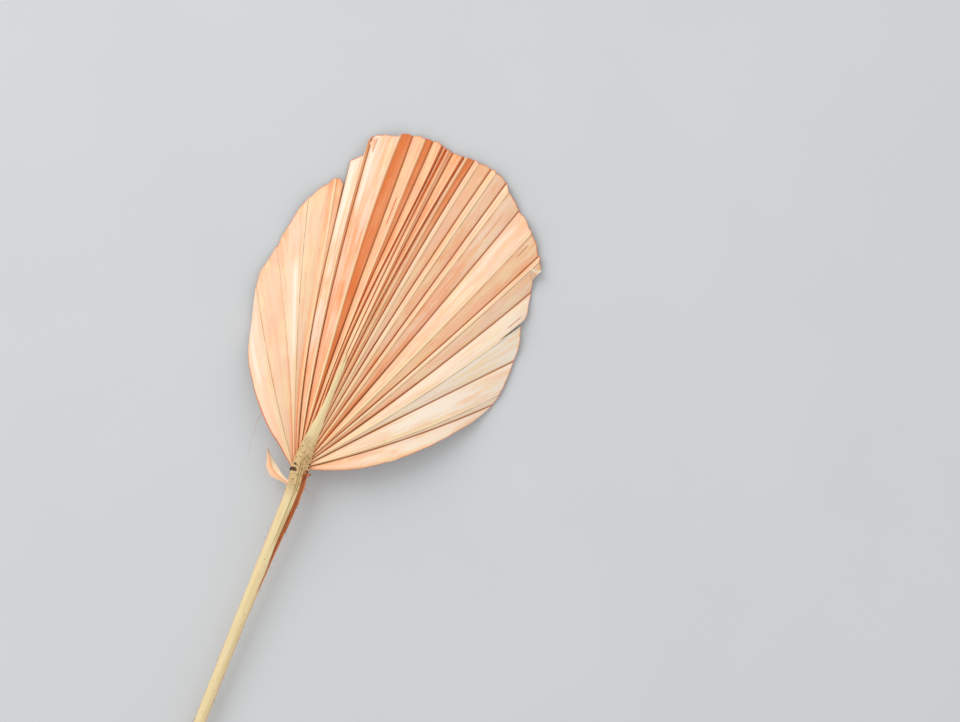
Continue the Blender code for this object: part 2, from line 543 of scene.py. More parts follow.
@dataclass(frozen=True)
class PaperFinish:
    """Plain pale paper for the surface that the leaf lies on."""

    name: str = "pale_paper"
    light: Colour = (0.61, 0.627, 0.64)
    dark: Colour = (0.60, 0.617, 0.63)

    def material(self) -> bpy.types.Material:
        """Builds the paper's material.

        Returns:
            The material.
        """
        net = Network(self.name)
        solid = net.node("TexCoord", {}, {}, "Object")
        cloud = net.noise(net.stretched(solid, (9.0, 9.0, 9.0)), 2.0)
        colour = net.mix(cloud.rise(0.3, 0.7), self.dark, self.light)
        inputs = {"Base Color": colour, "Roughness": 0.9, "Specular IOR Level": 0.1}
        return net.finish(net.node("BsdfPrincipled", {}, inputs))


# ---------------------------------------------------------------------------------------------
# Mesh tools


@dataclass(frozen=True)
class Profile:
    """A value that changes along a line, straight between given places and softened at them.

    Attributes:
        points: Places and the values there.
        softness: How far to each side of a place the value is read.
    """

    points: tuple[tuple[float, float], ...]
    softness: float = 3.0

    def at(self, place: float) -> float:
        """The softened value at a place, the mean of five straight readings about it."""
        return sum(self._straight(place + self.softness * step) for step in (-1, -0.5, 0, 0.5, 1)) / 5

    def _straight(self, place: float) -> float:
        """Reads the value without softening.

        Args:
            place: Where along the line.

        Returns:
            The value there, held level past both ends.
        """
        if place <= self.points[0][0]:
            return self.points[0][1]
        for (low, before), (high, after) in zip(self.points, self.points[1:]):
            if place <= high:
                return before + (after - before) * (place - low) / (high - low)
        return self.points[-1][1]


def smooth(low: float, high: float, value: float) -> float:
    """Climbs smoothly from 0 to 1 between two values.

    Args:
        low: The value at which the result is 0.
        high: The value at which the result is 1. It may be the smaller one.
        value: The value read.

    Returns:
        The climbing share.
    """
    share = min(max((value - low) / (high - low), 0.0), 1.0)
    return share * share * (3 - 2 * share)


def bead(distance: float, radius: float) -> float:
    """A soft hump across a line: 1 on it, and almost 0 from two radii away."""
    return math.exp(-((distance / radius) ** 2))


def waver(x: float, y: float, z: float = 0.0) -> float:
    """Smooth noise between about -1 and 1, one unit to each wave."""
    return noise.noise(Vector((x, y, z)))


def add_grid(
    shape: bmesh.types.BMesh,
    columns: int,
    rows: int,
    place: Callable[[int, int], tuple[Vector, Mark]],
) -> list[bmesh.types.BMVert]:
    """Adds a grid of quads and carries each of its points to its place.

    Args:
        shape: The mesh that it joins.
        columns: Faces from side to side.
        rows: Faces from end to end.
        place: Gives the position and the marks of the point in a column and a row.

    Returns:
        The grid's vertices.
    """
    made = bmesh.ops.create_grid(shape, x_segments=columns, y_segments=rows, size=0.5)
    for point in made["verts"]:
        column = round((point.co.x + 0.5) * columns)
        row = round((point.co.y + 0.5) * rows)
        point.co, marks = place(column, row)
        for name, value in marks.items():
            layers = (
                shape.verts.layers.float_vector if isinstance(value, Vector) else shape.verts.layers.float
            )
            point[layers[name]] = value
    return made["verts"]


def new_shape(marks: Iterable[str] = (), vectors: Iterable[str] = ()) -> bmesh.types.BMesh:
    """Starts a mesh whose vertices carry named marks.

    Args:
        marks: Names of the numbers that each vertex carries.
        vectors: Names of the vectors that each vertex carries.

    Returns:
        The empty mesh.
    """
    shape = bmesh.new()
    for name in marks:
        shape.verts.layers.float.new(name)
    for name in vectors:
        shape.verts.layers.float_vector.new(name)
    return shape


def add_tube(
    shape: bmesh.types.BMesh,
    path: Sequence[Vector],
    radius: Callable[[float], float],
    sides: int = 6,
) -> None:
    """Adds a closed tube along a path.

    Args:
        shape: The mesh that it joins.
        path: The points of its centreline.
        radius: Its radius at a share of its length.
        sides: Its number of sides.
    """
    last = len(path) - 1

    def place(column: int, row: int) -> tuple[Vector, Mark]:
        """One point of the ring at a row."""
        ahead = path[min(row + 1, last)] - path[max(row - 1, 0)]
        aside = ahead.cross(Vector((0.3, 0.2, 1.0))).normalized()
        above = aside.cross(ahead).normalized()
        angle = 2 * math.pi * (column % sides) / sides
        offset = aside * math.cos(angle) + above * math.sin(angle)
        return path[row] + offset * radius(row / last), {}

    points = add_grid(shape, sides, last, place)
    bmesh.ops.remove_doubles(shape, verts=points, dist=1e-4)
    rims = [edge for edge in shape.edges if edge.is_boundary]
    bmesh.ops.holes_fill(shape, edges=rims)


def thicken(shape: bmesh.types.BMesh, thickness: float) -> None:
    """Gives a sheet its thickness, straight down, with its upper face left where it is.

    Args:
        shape: The sheet.
        thickness: In millimetres.
    """
    bmesh.ops.recalc_face_normals(shape, faces=shape.faces)
    grown = bmesh.ops.extrude_face_region(shape, geom=list(shape.faces), use_keep_orig=True)
    lower = [item for item in grown["geom"] if isinstance(item, bmesh.types.BMVert)]
    bmesh.ops.translate(shape, verts=lower, vec=(0, 0, -thickness))


def finish_piece(
    shape: bmesh.types.BMesh,
    name: str,
    material: bpy.types.Material,
    replaced: Sequence[str] = (),
) -> bpy.types.Object:
    """Turns a modelled shape into a piece of the object, in place on its body.

    Args:
        shape: The shape, in millimetres about the hub. It is freed.
        name: The piece's name.
        material: Its material.
        replaced: The frame's nodes that it stands for.

    Returns:
        The piece.
    """
    bmesh.ops.recalc_face_normals(shape, faces=shape.faces)
    shape.transform(HUB_TO_ROW)
    mesh = bpy.data.meshes.new(name)
    shape.to_mesh(mesh)
    shape.free()
    mesh.shade_smooth()
    mesh.set_sharp_from_angle(angle=math.radians(55))
    mesh.materials.append(material)
    piece = bpy.data.objects.new(name, mesh)
    bpy.context.scene.collection.objects.link(piece)
    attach(piece, BODY)
    if replaced:
        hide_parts(*replaced)
    LOG.info("%s: %d faces", name, len(mesh.polygons))
    return piece


# ---------------------------------------------------------------------------------------------
# Stalk and midrib


@dataclass(frozen=True)
class Stalk:
    """The stalk, from its cut end to the hub, and the midrib that it runs on into.

    Attributes:
        left: Place of its left side edge, along Y.
        right: Place of its right side edge.
        height: Height of its middle.
        thickness: From its channel to its upper face.
        sides: Points around it.
        spacing: Millimetres between its stations.
    """

    left: Profile = Profile(
        (
            (-310, -4.0), (-160, -3.7), (-100, -3.6), (-50, -3.2), (-14, -3.1), (-4, -4.6), (2, -5.6),
            (11, -5.2), (20, -4.3), (32, -2.2), (40, -1.1), (48, -0.4), (64, 0.1), (71, 0.7), (78, 1.5),
        )
    )
    right: Profile = Profile(
        (
            (-310, 4.0), (-160, 3.6), (-100, 4.1), (-75, 5.0), (-50, 6.2), (-35, 7.3), (-20, 8.0), (-8, 8.0),
            (2, 6.4), (11, 5.5), (20, 4.8), (32, 4.5), (40, 4.0), (48, 3.95), (71, 3.9), (78, 3.3),
        )
    )
    height: Profile = Profile(((-310, 2.5), (0, 17.0), (78, 24.0)))
    thickness: Profile = Profile(((-310, 5.0), (0, 6.5), (78, 1.2)))
    sides: int = 64
    spacing: float = 1.6

    def start(self, along: float, rightwards: bool) -> Vector:
        """Where a fold that leaves the midrib starts, tucked a little under its side edge.

        Args:
            along: Place along Y.
            rightwards: Whether it leaves on the right.

        Returns:
            The point.
        """
        left, right = self.left.at(along), self.right.at(along)
        tuck = min(0.7, 0.4 * (right - left))
        across = right - tuck if rightwards else left + tuck
        return Vector((across, along, self.height.at(along)))

    def _outline(self, turn: float) -> tuple[float, float]:
        """The section's outline: a broad rounded face, sharp side edges and a shallow channel.

        Args:
            turn: Share of the way round, from the channel's middle over the right edge.

        Returns:
            The place across, from -1 to 1, and up, from -0.5 to 0.5.
        """
        corners = (
            (0.0, (0.0, -0.36)), (0.08, (0.34, -0.5)), (0.17, (0.74, -0.44)), (0.27, (1.0, 0.02)),
            (0.34, (0.82, 0.3)), (0.42, (0.42, 0.45)), (0.5, (0.0, 0.5)),
        )
        side = 1 if turn <= 0.5 else -1
        share = turn if turn <= 0.5 else 1 - turn
        across = Profile(tuple((place, point[0]) for place, point in corners), softness=0.012)
        upward = Profile(tuple((place, point[1]) for place, point in corners), softness=0.012)
        return side * across.at(share), upward.at(share)

    def build(self) -> bpy.types.Object:
        """Skins the stalk through its stations and cuts its end square.

        Returns:
            The piece.
        """
        count = round((STALK_LENGTH + MIDRIB_LENGTH) / self.spacing)
        outline = [self._outline(column / self.sides) for column in range(self.sides)]
        shape = new_shape(("edge", "flank", "groove", "hub", "cut"))

        def place(column: int, row: int) -> tuple[Vector, Mark]:
            """One point of the skin."""
            along = -STALK_LENGTH + (STALK_LENGTH + MIDRIB_LENGTH) * row / count
            return self._skin_point(outline[column % self.sides], along)

        add_grid(shape, self.sides, count, place)
        bmesh.ops.remove_doubles(shape, verts=shape.verts, dist=1e-3)
        rims = [edge for edge in shape.edges if edge.is_boundary]
        caps = bmesh.ops.holes_fill(shape, edges=rims)["faces"]
        self._trim_end(shape, caps)
        return finish_piece(shape, "stalk_and_midrib", StalkFinish().material(), ("stalk",))

    def _skin_point(self, outline: tuple[float, float], along: float) -> tuple[Vector, Mark]:
        """Places a point of the skin, with its groove, its torn flank and its small unevenness.

        Args:
            outline: The point's place in the section.
            along: The station.

        Returns:
            The point and its marks.
        """
        share, rise = outline
        left, right = self.left.at(along), self.right.at(along)
        middle, half = (left + right) / 2, (right - left) / 2
        thickness = self.thickness.at(along)
        across = middle + share * half
        upper = smooth(0.0, 0.25, rise)
        torn = smooth(-84, -77, along) * smooth(3, -3, along)
        grooved = smooth(-62, -40, along) * smooth(12, 2, along)
        drift = 0.1 * smooth(0, -40, along)
        groove = upper * grooved * (bead(share - 0.02 - drift, 0.07) + 0.8 * bead(share - 0.24 - drift, 0.05))
        low = 0.42 + 0.32 * smooth(-42, -76, along)
        flank = smooth(low, low + 0.08, share) * torn
        up = self.height.at(along) + rise * thickness
        up -= 0.75 * groove
        up -= 0.5 * flank * upper
        up -= 1.6 * upper * smooth(69, 77, along) * bead(share, 0.3)
        wave = waver(along * 0.05, share * 2.0) * 0.22 + waver(along * 0.3, share * 3.0, 4.0) * 0.1
        keel = 0.3 * upper * bead(share - 0.38, 0.08) * grooved
        knob = 0.7 * upper * bead(along - 6, 9) * (1 + waver(along * 0.4, share * 4.0, 8.0))
        edge = smooth(0.74, 0.97, share) if share > 0 else smooth(0.84, 0.99, -share)
        side_wave = edge * waver(along * 0.22, share, 2.0) * 0.35
        hub = smooth(-22, -2, along) * smooth(30, 10, along)
        marks = {"edge": edge, "flank": flank, "groove": groove, "hub": hub, "cut": 0.0}
        return Vector((across + side_wave, along, up + wave * upper + keel + knob)), marks

    @staticmethod
    def _trim_end(shape: bmesh.types.BMesh, caps: Sequence[bmesh.types.BMFace]) -> None:
        """Insets the caps, so that the cut face shows its pith inside a crisp edge of skin.

        Args:
            shape: The stalk.
            caps: The faces that close its two ends.
        """
        bmesh.ops.inset_region(shape, faces=caps, thickness=0.35, depth=0.0)
        cut = shape.verts.layers.float["cut"]
        for cap in caps:
            for point in cap.verts:
                point[cut] = 1.0


# ---------------------------------------------------------------------------------------------
# Blade


class Crest(Enum):
    """Which way a fold stands out of the sheet."""

    RIDGE = 1.0
    VALLEY = -1.0


@dataclass(frozen=True)
class Panel:
    """The flat between one fold and the next one to its right.

    Attributes:
        near: Dye towards the midrib, from 0 for bare cream to 1 for deep orange.
        middle: Dye half way out.
        far: Dye towards the margin.
        bleach: How white its worn patches are.
        edge: Share across the panel, and how far its margin stands out there in millimetres.
    """

    near: float
    middle: float
    far: float
    bleach: float = 0.0
    edge: tuple[tuple[float, float], ...] = ((0.15, 0.1), (0.5, 0.8), (0.85, 0.3))


@dataclass(frozen=True)
class Fold:
    """One fold, which runs from the midrib's side to the margin, and the panel to its right.

    Attributes:
        crest: Ridge or valley.
        across: Where it ends on the margin, across the leaf.
        along: Where it ends, along the leaf.
        start: Where it leaves the midrib, along the leaf.
        bow: How far it bows to the right on its way.
        relief: How far it stands out of the sheet at the margin.
        panel: The panel to its right.
        skew: Moves the bow towards the midrib, or towards the margin if it is negative.
        ragged: How unevenly it runs, for a fold that is the sheet's side edge.
        line: How strongly its cord or crease shows.
    """

    crest: Crest
    across: float
    along: float
    start: float
    bow: float
    relief: float
    panel: Panel
    skew: float = 0.0
    ragged: float = 0.0
    line: float = 1.0


PALE_FIBRE = (0.93, 0.83, 0.69)
R, V = Crest.RIDGE, Crest.VALLEY
FOLDS = (
    Fold(V, -62.5, 72.0, -1.0, -8.5, 1.0, Panel(0.26, 0.14, 0.08, 0.3), skew=-0.3, ragged=0.7),
    Fold(R, -68.5, 96.5, 0.5, -1.5, 2.0, Panel(0.32, 0.35, 0.32, 0.1, ((0.28, 3.2), (0.6, 1.2))), line=0.6),
    Fold(V, -66.0, 126.0, 2.5, 2.5, 2.0,
         Panel(0.2, 0.24, 0.42, 0.3, ((0.03, -2.0), (0.1, 0.8), (0.7, 2.2))), line=0.4),
    Fold(R, -58.5, 161.0, 4.5, -2.0, 1.7, Panel(0.32, 0.3, 0.26, 0.1, ((0.5, 0.8),)), line=0.6),
    Fold(V, -49.5, 176.0, 7.0, -2.2, 1.3, Panel(0.5, 0.4, 0.6), skew=1.1, line=0.1),
    Fold(R, -46.9, 179.6, 8.0, -1.5, 0.8,
         Panel(0.36, 0.5, 0.6, 0.0, ((0.05, -0.3), (0.5, -6.5), (0.97, -15.5))), skew=1.5),
    Fold(V, -42.5, 193.6, 11.0, -4.4, 1.1, Panel(0.54, 0.5, 0.16, 0.6, ((0.97, -8.5),)), skew=0.5),
    Fold(R, -36.0, 209.0, 14.0, -2.9, 1.0, Panel(0.48, 0.68, 0.66)),
    Fold(V, -34.8, 213.0, 16.0, -3.0, 1.4,
         Panel(0.68, 0.7, 0.36, 0.4, ((0.08, -0.6), (0.16, 1.4), (0.6, 0.8))), skew=0.2),
    Fold(R, -18.3, 219.5, 17.0, -2.2, 2.3,
         Panel(0.84, 0.98, 0.9, 0.0, ((0.0, 1.5), (0.6, 1.6))), skew=-0.9),
    Fold(V, -11.0, 223.0, 21.0, -0.5, 2.2, Panel(0.48, 0.52, 0.44), skew=1.5),
    Fold(R, -3.0, 224.0, 24.0, -0.2, 1.6, Panel(1.0, 0.75, 0.95)),
    Fold(V, 2.2, 224.5, 32.0, -1.9, 1.8, Panel(0.66, 0.62, 0.48), skew=1.2),
    Fold(R, 8.0, 224.0, 38.0, -2.5, 1.5, Panel(0.95, 0.8, 1.05), skew=1.45),
    Fold(V, 9.5, 223.5, 44.0, -2.3, 1.2, Panel(0.3, 0.5, 0.4), skew=1.2),
    Fold(R, 10.9, 223.0, 66.0, -1.0, 1.0, Panel(0.6, 0.6, 0.9)),
    Fold(V, 12.2, 222.5, 70.0, -0.8, 1.0, Panel(0.3, 0.6, 0.7)),
    Fold(R, 13.6, 222.5, 72.0, -0.2, 1.2, Panel(0.75, 0.6, 0.6)),
    Fold(V, 16.6, 222.0, 66.0, -0.4, 1.6, Panel(0.62, 0.66, 0.56)),
    Fold(R, 22.6, 221.5, 54.0, -2.1, 1.4, Panel(0.5, 0.75, 1.15), skew=0.67),
    Fold(V, 24.6, 222.0, 44.0, -2.7, 1.2, Panel(0.6, 0.36, 0.14)),
    Fold(R, 26.3, 222.5, 37.0, -1.9, 1.4, Panel(0.5, 0.6, 0.88)),
    Fold(V, 31.3, 223.0, 31.0, -1.8, 1.4, Panel(0.02, 0.12, 0.28, 0.3)),
    Fold(R, 34.2, 222.0, 27.0, -1.7, 1.6, Panel(0.22, 0.5, 0.44, 0.1)),
    Fold(V, 43.3, 221.5, 23.0, -1.5, 1.7, Panel(0.15, 0.34, 0.36, 0.35)),
    Fold(R, 46.8, 220.5, 20.0, -1.0, 1.8, Panel(0.38, 0.58, 0.42, 0.25)),
    Fold(V, 55.5, 217.0, 17.0, 0.0, 1.8, Panel(0.48, 0.4, 0.4, 0.3)),
    Fold(R, 58.6, 212.0, 14.0, -0.3, 1.8, Panel(0.65, 0.62, 0.4, 0.35)),
    Fold(V, 69.5, 203.5, 12.0, 1.0, 1.9, Panel(0.38, 0.34, 0.34, 0.3)),
    Fold(R, 82.0, 193.0, 10.5, 1.5, 2.0, Panel(0.4, 0.55, 0.48, 0.1)),
    Fold(V, 91.8, 181.0, 9.5, 1.5, 1.7, Panel(0.0, 0.1, 0.3, 0.4)),
    Fold(R, 93.2, 178.3, 8.8, 1.8, 1.6,
         Panel(0.48, 0.46, 0.36, 0.3, ((0.52, 5.9), (0.56, -1.8), (0.75, -0.4)))),
    Fold(V, 95.5, 157.6, 8.0, 2.2, 1.8, Panel(0.16, 0.02, 0.0, 0.5, ((0.4, 0.8), (0.8, 1.6), (0.97, 0.6)))),
    Fold(R, 98.9, 139.0, 7.0, 3.0, 1.4,
         Panel(0.1, 0.0, 0.0, 0.9, ((0.0, -4.4), (0.12, -3.6), (0.4, -0.6), (0.7, 0.6)))),
    Fold(V, 101.5, 113.0, 6.0, -0.3, 1.1, Panel(0.2, 0.12, 0.05, 0.8)),
    Fold(R, 101.0, 91.0, 4.6, 3.6, 0.5, Panel(0.18, 0.22, 0.2, 0.5)),
    Fold(V, 99.0, 82.0, 3.8, 2.6, 0.4, Panel(0.38, 0.36, 0.12, 0.7)),
    Fold(R, 94.5, 72.0, 2.2, 10.3, 0.9, Panel(0.0, 0.0, 0.0), skew=0.2, ragged=0.6),
)


@dataclass(frozen=True)
class Slit:
    """A split along a fold, open at the margin.

    Attributes:
        fold: Which fold it follows, counted from the left edge.
        depth: How far in from the margin it reaches.
        left_gap: How far the sheet on its left has moved away at the margin.
        right_gap: How far the sheet on its right has moved away.
        drop: How much lower its left side hangs at the margin.
    """

    fold: int
    depth: float
    left_gap: float
    right_gap: float
    drop: float = 0.0


@dataclass(frozen=True)
class Blade:
    """The pleated sheet: a grid whose columns run out along the folds and between them.

    Attributes:
        stalk: The stalk that its folds leave.
        folds: Its folds, from its left edge to its right edge.
        slits: Where it has split.
        rows: Faces from the midrib to the margin.
        spacing: Millimetres between columns on a wide panel, at the margin.
        thickness: The sheet's thickness.
        dome: How far its middle stands up.
        camber: How far a panel bulges, in shares of its width.
        rib: Height of the cord along a ridge.
        crease: Depth of the crease along a valley.
        clearance: Height of the sheet's lowest folds over the surface, at the margin.
        middle: Across over along, beyond which a fold starts on the midrib's right side.
    """

    stalk: Stalk
    folds: tuple[Fold, ...] = FOLDS
    slits: tuple[Slit, ...] = (
        Slit(6, 24, 0.3, 0.0, 0.6),
        Slit(33, 18, 0.9, 0.9, 0.9),
    )
    rows: int = 122
    spacing: float = 2.0
    thickness: float = 0.45
    dome: float = 7.0
    camber: float = 0.035
    rib: float = 0.32
    crease: float = 0.3
    clearance: float = 1.0
    middle: float = 0.058

    def _start(self, fold: Fold) -> Vector:
        """Where a fold leaves the midrib: a ridge climbs onto its flank, a valley dips below."""
        point = self.stalk.start(fold.start, fold.across / fold.along > self.middle)
        return point + Vector((0, 0, 0.12 * fold.crest.value * self.stalk.thickness.at(fold.start)))

    @staticmethod
    def _path(fold: Fold, start: Vector, out: float) -> Vector:
        """Follows a fold, seen from above.

        Args:
            fold: The fold.
            start: Where it starts.
            out: Share of the way to the margin.

        Returns:
            The point, at no height.
        """
        run = Vector((fold.across - start.x, fold.along - start.y, 0.0))
        aside = Vector((run.y, -run.x, 0.0)).normalized()
        bend = fold.bow * 4 * out * (1 - out) * (1 + fold.skew * (1 - 2 * out))
        bend += fold.ragged * (waver(out * 6, fold.across) + 0.5 * waver(out * 19, fold.across))
        return Vector((start.x, start.y, 0.0)) + run * out + aside * bend

    def _shares(self, width: float) -> list[float]:
        """Where the columns of a panel stand, close together beside its folds.

        Args:
            width: The panel's width at the margin.

        Returns:
            Shares across the panel, without its right end.
        """
        near = (0.4, 1.0)
        if width < 4 * near[1]:
            return [step / 6 for step in range(6)]
        inner = width - 2 * near[1]
        count = max(round(inner / self.spacing), 1)
        places = [0.0, near[0]] + [near[1] + inner * step / count for step in range(count + 1)]
        return [place / width for place in places + [width - near[0]]]

    @staticmethod
    def _across(left: Fold, right: Fold, apart: Vector) -> float:
        """The part of a step between two folds that is square to them."""
        run = Vector((left.across + right.across, left.along + right.along)).normalized()
        return abs(run.x * apart.y - run.y * apart.x)

    def _width(self, panel: int) -> float:
        """Width of a panel at the margin, square to its folds."""
        left, right = self.folds[panel], self.folds[panel + 1]
        return self._across(left, right, Vector((right.across - left.across, right.along - left.along)))

    def build(self) -> bpy.types.Object:
        """Lays out the sheet, splits it and gives it its thickness.

        Returns:
            The piece.
        """
        columns = [
            (panel, share)
            for panel in range(len(self.folds) - 1)
            for share in self._shares(self._width(panel))
        ]
        columns.append((len(self.folds) - 2, 1.0))
        starts = [self._start(fold) for fold in self.folds]
        shape = new_shape(
            ("dye", "bleach", "to_ridge", "to_valley", "young", "rim", "place", "inset"), ("sheet",)
        )

        def place(column: int, row: int) -> tuple[Vector, Mark]:
            """One point of the sheet."""
            panel, share = columns[column]
            return self._sheet_point(panel, share, row / self.rows, starts)

        add_grid(shape, len(columns) - 1, self.rows, place)
        for slit in self.slits:
            self._split(shape, slit)
        thicken(shape, self.thickness)
        finish = BladeFinish(
            streaks=(
                Streak(10.62, 139, 162, 0.09, 1.0),
                Streak(29.3, 180, 192, 0.05, 0.8),
                Streak(27.5, 170, 196, 0.05, 0.5),
                Streak(2.6, 95, 112, 0.03, 0.35),
                Streak(29.8, 150, 178, 0.04, 0.4),
                Streak(32.72, 149, 163, 0.05, 0.7),
                Streak(2.68, 58, 132, 0.26, 0.9, PALE_FIBRE),
                Streak(0.35, 52, 100, 0.22, 0.55, PALE_FIBRE),
                Streak(6.35, 128, 190, 0.3, 0.7, PALE_FIBRE),
                Streak(8.2, 150, 206, 0.16, 0.7, PALE_FIBRE),
                Streak(22.4, 130, 198, 0.24, 0.5, PALE_FIBRE),
                Streak(26.3, 150, 214, 0.2, 0.5, PALE_FIBRE),
                Streak(28.3, 120, 200, 0.18, 0.5, PALE_FIBRE),
                Streak(34.5, 50, 104, 0.3, 0.6, PALE_FIBRE),
            )
        )
        return finish_piece(shape, "fan_blade_sheet", finish.material(), ("fan_blade",))

    def _sheet_point(
        self, panel: int, share: float, row: float, starts: Sequence[Vector]
    ) -> tuple[Vector, Mark]:
        """Places a point of the sheet and marks what its finish needs.

        Args:
            panel: The panel's number, which is its left fold's.
            share: Share of the way across the panel.
            row: Share of the way out along the sheet.
            starts: Where each fold starts.

        Returns:
            The point and its marks.
        """
        left, right = self.folds[panel], self.folds[panel + 1]
        first, second = starts[panel], starts[panel + 1]
        width = self._width(panel)
        place = panel + share
        length = math.dist(first.lerp(second, share)[:2], self._end(left, right, share))
        out = row * (1 + self._stand_out(left.panel, share, place * width, place) / length)
        before, after = self._path(left, first, out), self._path(right, second, out)
        flat = before.lerp(after, share)
        here = self._across(left, right, after - before)
        to_left, to_right = share * here, (1 - share) * here
        height = self._height(left, right, first.lerp(second, share).z, share, out)
        bead_radius = min(0.6, 0.2 * here + 0.06)
        ridge, valley = self._creases(left, right, to_left, to_right, bead_radius)
        growth = 0.45 + 0.55 * out
        height += growth * (min(self.rib, 0.16 * here) * ridge - min(self.crease, 0.16 * here) * valley)
        height += self._unevenness(flat, place, out)
        marks = self._tones(left.panel, out, (1 - row) * length)
        outer = min(to_left if panel == 0 else 99.0, to_right if panel == len(self.folds) - 2 else 99.0)
        marks["rim"] = min((1 - row) * length, outer)
        rises = left.crest is Crest.VALLEY
        narrow = max(1.0, 3.4 / max(here, 0.3))
        ridge_line, valley_line = (right.line, left.line) if rises else (left.line, right.line)
        marks["to_ridge"] = narrow * (to_right if rises else to_left) + 0.9 * (1 - ridge_line)
        marks["to_valley"] = narrow * (to_left if rises else to_right) + 0.8 * (1 - valley_line)
        marks["young"] = smooth(0.75, 0.1, out)
        marks["place"] = place
        marks["inset"] = (1 - row) * length
        marks["sheet"] = Vector((share * width + panel * 13.7, out * length, place))
        return Vector((flat.x, flat.y, height)), marks

    @staticmethod
    def _end(left: Fold, right: Fold, share: float) -> tuple[float, float]:
        """A point of the straight margin between two folds."""
        across = left.across + (right.across - left.across) * share
        return across, left.along + (right.along - left.along) * share

    @staticmethod
    def _stand_out(panel: Panel, share: float, across: float, place: float) -> float:
        """How far the margin stands out of the straight line between two folds.

        Args:
            panel: The panel.
            share: Share of the way across it.
            across: A running distance along the margin, in millimetres.
            place: Fold number, with the share as its fraction.

        Returns:
            Millimetres, with the small unevenness of a trimmed and dried edge.
        """
        points = ((0.0, 0.0), *panel.edge, (1.0, 0.0))
        if panel.edge[0][0] == 0.0:
            points = points[1:]
        shaped = 0.0
        for (low, before), (high, after) in zip(points, points[1:]):
            if low <= share <= high:
                shaped = before + (after - before) * (share - low) / (high - low)
        return shaped + 0.7 * waver(across * 0.2, place * 0.9, 3.0) + 0.35 * waver(across * 0.8, place, 5.0)

    def _height(self, left: Fold, right: Fold, start: float, share: float, out: float) -> float:
        """Height of the folded sheet: a dome, pleated more and more strongly on the way out.

        Args:
            left: The fold on its left.
            right: The fold on its right.
            start: Height at the midrib.
            share: Share of the way from left to right.
            out: Share of the way out.

        Returns:
            The height.
        """
        swell = 0.06 + 0.94 * max(out, 0.0)
        relief = left.relief + (right.relief - left.relief) * share
        raised = left.crest.value * left.relief * (1 - share) + right.crest.value * right.relief * share
        camber = self.camber * self._apart(left, right) * 4 * share * (1 - share) * out
        end = relief + self.clearance
        middle = start + (end - start) * out + self.dome * 4 * out * (1 - out)
        return middle + raised * swell + camber

    @staticmethod
    def _apart(left: Fold, right: Fold) -> float:
        """Distance between two folds' ends, held to 16 mm."""
        return min(math.hypot(right.across - left.across, right.along - left.along), 16.0)

    @staticmethod
    def _creases(
        left: Fold, right: Fold, to_left: float, to_right: float, radius: float
    ) -> tuple[float, float]:
        """How near a point is to a ridge and to a valley.

        Args:
            left: The fold on its left.
            right: The fold on its right.
            to_left: Distance to the left fold.
            to_right: Distance to the right fold.
            radius: Radius of a rib or a crease there.

        Returns:
            Two shares from 0 to 1, for the ridge and the valley.
        """
        near = {Crest.RIDGE: 0.0, Crest.VALLEY: 0.0}
        near[left.crest] = bead(to_left, radius) * left.line
        near[right.crest] = max(near[right.crest], bead(to_right, radius) * right.line)
        return near[Crest.RIDGE], near[Crest.VALLEY]

    @staticmethod
    def _unevenness(flat: Vector, place: float, out: float) -> float:
        """Small lasting waves of a dried leaf, and a margin that lifts here and there."""
        wave = 0.4 * waver(flat.x / 24, flat.y / 24) + 0.16 * waver(flat.x / 7, flat.y / 7, 3.0)
        lift = 1.5 * (0.5 + 0.5 * waver(place * 0.31, 1.7)) * out**4
        return wave * out * 1.3 + lift + 0.25 * out

    @staticmethod
    def _tones(panel: Panel, out: float, inset: float) -> Mark:
        """Marks the dye and the bleach at a point.

        Args:
            panel: Its panel.
            out: Share of the way out.
            inset: Millimetres in from the margin.

        Returns:
            The marks.
        """
        outer = panel.far - panel.middle
        dye = panel.near + (panel.middle - panel.near) * smooth(0.35, 0.68, out)
        dye += outer * smooth(0.62, 0.9, out) + 0.1 * math.exp(-inset / 9)
        return {"dye": dye, "bleach": panel.bleach * smooth(0.05, 0.5, out)}

    @staticmethod
    def _split(shape: bmesh.types.BMesh, slit: Slit) -> None:
        """Splits the sheet along a fold and moves both sides of the slit apart.

        Args:
            shape: The sheet, not yet thickened.
            slit: The slit.
        """
        place = shape.verts.layers.float["place"]
        inset = shape.verts.layers.float["inset"]
        torn = [
            edge
            for edge in shape.edges
            if all(abs(end[place] - slit.fold) < 1e-4 and end[inset] < slit.depth for end in edge.verts)
        ]
        bmesh.ops.split_edges(shape, edges=torn)
        before = max(point[place] for point in shape.verts if point[place] < slit.fold - 1e-4)
        sliver = [
            face
            for face in shape.faces
            if all(before - 1e-4 < v[place] < slit.fold + 1e-4 and v[inset] < slit.depth for v in face.verts)
        ]
        bmesh.ops.delete(shape, geom=sliver, context="FACES")
        for point in shape.verts:
            near = 1 - abs(point[place] - slit.fold)
            if near <= 0 or point[inset] > slit.depth:
                continue
            sides = [sum(v[place] for v in face.verts) / len(face.verts) for face in point.link_faces]
            on_left = sum(sides) / len(sides) < slit.fold
            open_share = (1 - point[inset] / slit.depth) * near
            point.co.x += open_share * (-slit.left_gap if on_left else slit.right_gap)
            point.co.z -= open_share * slit.drop if on_left else 0.0


# ---------------------------------------------------------------------------------------------
# Small pieces


